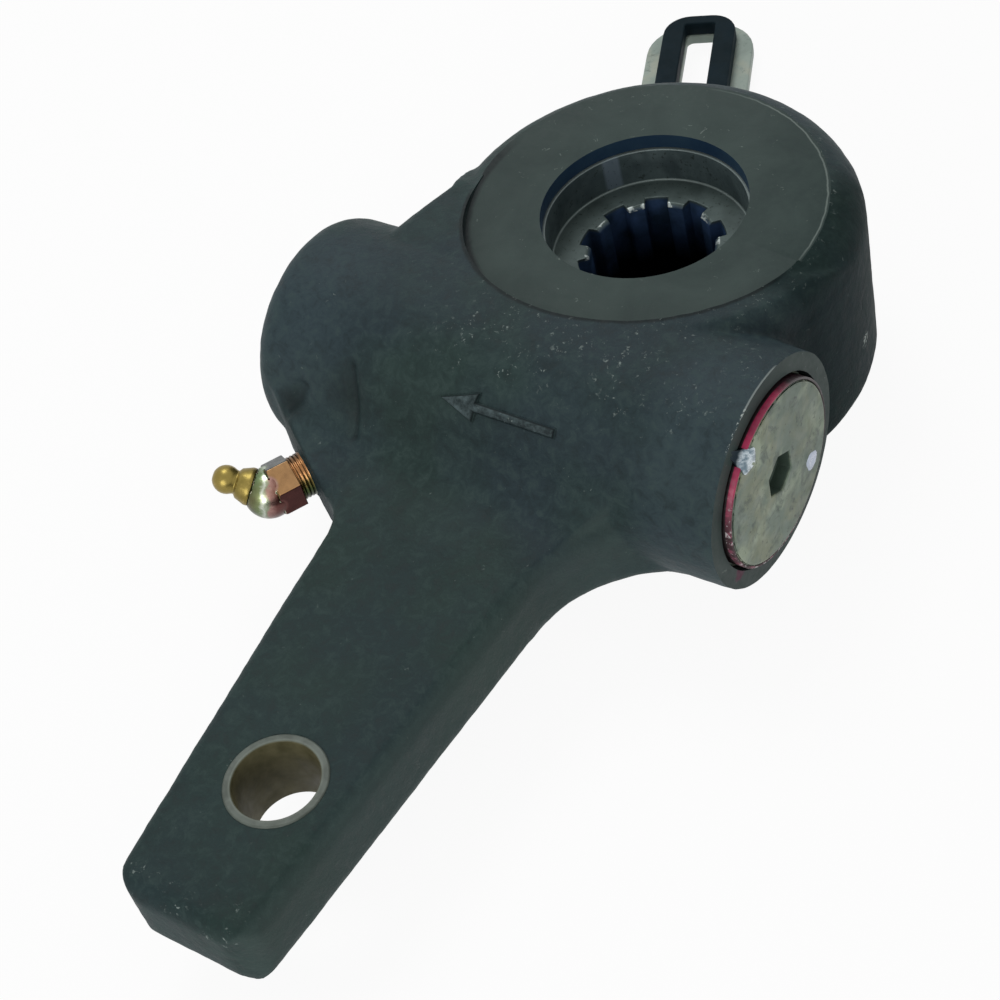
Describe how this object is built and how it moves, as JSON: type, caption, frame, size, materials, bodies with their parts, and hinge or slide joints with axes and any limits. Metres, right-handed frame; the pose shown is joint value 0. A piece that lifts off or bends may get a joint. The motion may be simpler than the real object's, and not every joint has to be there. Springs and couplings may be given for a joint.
{
  "type": "brake slack adjuster",
  "caption": "Automatic brake slack adjuster: cast lever with a splined worm wheel, worm, rack-driven adjusting gear, clevis eye, end cover, grease nipple and slotted control arm.",
  "frame": {"origin": "where the camshaft axis crosses the plane of the worm axis", "axes": "+Z along the camshaft axis, out of the machined ring; +X along the worm axis, out of the end cover; the lever arm points to -Y"},
  "size_m": [0.1457, 0.343, 0.0693],
  "materials": {
    "casting": "rough casting with a thin dark coat",
    "bush_steel": "dull drawn steel",
    "cover_zinc": "blotchy zinc plate",
    "red_seal": "soft sealing paste",
    "nipple_plate": "bright yellow plating",
    "nipple_brass": "dull olive brass",
    "plate_steel": "zinc plate",
    "screw_steel": "zinc plate",
    "gasket": "matt sheet",
    "bronze": "sintered bronze",
    "black_rubber": "matt rubber",
    "spring_steel": "oiled spring wire",
    "washer_steel": "ground steel",
    "wheel_steel": "dark oiled steel",
    "worm_steel": "oiled hardened steel",
    "gear_steel": "sintered steel",
    "control_zinc": "dull zinc plate",
    "liner_plastic": "matt moulded plastic",
    "clip_steel": "black spring steel"
  },
  "bodies": {
    "housing": {"housing": "casting", "clevis_bush": "bush_steel", "end_cover": "cover_zinc", "cover_seal": "red_seal", "nipple_base": "nipple_plate", "nipple_head": "nipple_brass", "lower_cover": "plate_steel", "lower_screws": "screw_steel", "lower_gasket": "gasket", "thrust_ring": "bronze", "worm_bush": "bronze", "worm_seal": "black_rubber", "main_spring": "spring_steel", "spring_seat": "washer_steel", "spring_thrust_washer": "washer_steel", "pinion_washer": "washer_steel"},
    "wheel": {"worm_wheel": "wheel_steel", "wheel_seal_upper": "black_rubber", "wheel_seal_lower": "black_rubber"},
    "worm": {"worm_screw": "worm_steel", "clutch_ring": "gear_steel"},
    "pinion": {"pinion": "gear_steel", "clutch_spring": "spring_steel"},
    "rack": {"rack": "worm_steel"},
    "control": {"control_disc": "washer_steel", "control_arm": "control_zinc", "slot_liner": "liner_plastic", "retaining_ring": "clip_steel"}
  },
  "joints": [
    {"name": "wheel_spin", "type": "hinge", "parent": "housing", "child": "wheel", "pos_m": [0, 0, 0], "axis": [0, 0, 1], "continuous": true},
    {"name": "worm_spin", "type": "hinge", "parent": "housing", "child": "worm", "pos_m": [0, -0.0475, 0], "axis": [1, 0, 0], "continuous": true},
    {"name": "control_swing", "type": "hinge", "parent": "housing", "child": "control", "pos_m": [0, 0, 0], "axis": [0, 0, 1], "range_deg": [-5, 15]},
    {"name": "rack_slide", "type": "slide", "parent": "housing", "child": "rack", "axis": [0, 1, 0], "range_m": [-0.00376, 0.01126]},
    {"name": "pinion_spin", "type": "hinge", "parent": "housing", "child": "pinion", "pos_m": [0, -0.0475, 0], "axis": [1, 0, 0], "range_deg": [-20.5, 61.5]}
  ],
  "couplings": [
    {"joint": "worm_spin", "follows": "wheel_spin", "ratio": -24},
    {"joint": "rack_slide", "follows": "control_swing", "m_per_rad": 0.043},
    {"joint": "pinion_spin", "follows": "control_swing", "ratio": 4.0952}
  ]
}
